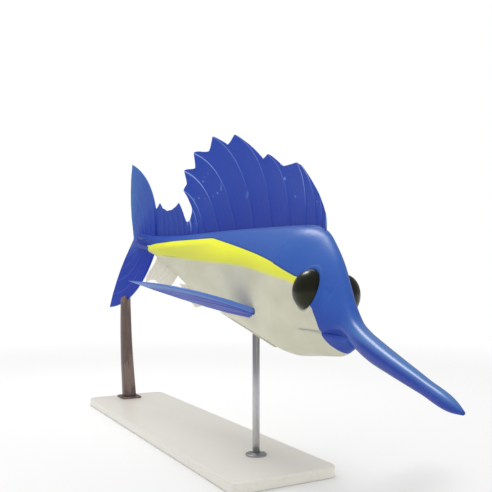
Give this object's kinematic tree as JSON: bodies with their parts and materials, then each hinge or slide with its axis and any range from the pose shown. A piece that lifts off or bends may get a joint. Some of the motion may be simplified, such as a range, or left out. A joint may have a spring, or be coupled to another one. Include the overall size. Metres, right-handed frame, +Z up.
{
  "type": "sailfish, museum model",
  "caption": "Life-size museum model of a sailfish with raised sail and long bill, swimming nose down and banked, held by rods above a flat base.",
  "frame": {"origin": "on the floor under the middle of the model's length and width", "axes": "+X the way the fish swims, along its length; +Y to the fish's left; +Z up"},
  "size_m": [2.3269, 0.761, 1.0984],
  "materials": {
    "body_blue": "glossy lacquer over cobalt blue, yellow flank band and white belly",
    "belly_white": "glossy pearl white",
    "bill_blue": "glossy steel blue",
    "sail_blue": "glossy deep blue with raised rays",
    "tail_blue": "glossy dark blue with raised rays",
    "fin_pale": "glossy off-white with raised rays",
    "eye": "polished black glass",
    "stand_white": "satin off-white lacquer",
    "stand_steel": "brushed",
    "stand_brown": "oiled brown wood"
  },
  "bodies": {
    "root": {"head": "body_blue", "lower_jaw": "belly_white", "bill": "bill_blue", "trunk_front": "body_blue", "trunk_rear": "body_blue", "tail_stalk": "tail_blue", "sail": "sail_blue", "second_dorsal_fin": "sail_blue", "first_anal_fin": "fin_pale", "second_anal_fin": "fin_pale", "tail_lobe_upper": "tail_blue", "tail_lobe_lower": "tail_blue", "eye_left": "eye", "eye_right": "eye", "gill_cover_left": "body_blue", "gill_cover_right": "body_blue", "pectoral_fin_left": "sail_blue", "pectoral_fin_right": "sail_blue", "pelvic_fin_left": "fin_pale", "pelvic_fin_right": "fin_pale", "stand_base": "stand_white", "stand_rod_front": "stand_steel", "stand_flange_front": "stand_steel", "stand_rod_rear": "stand_brown", "stand_plate_rear": "stand_brown"}
  },
  "joints": []
}
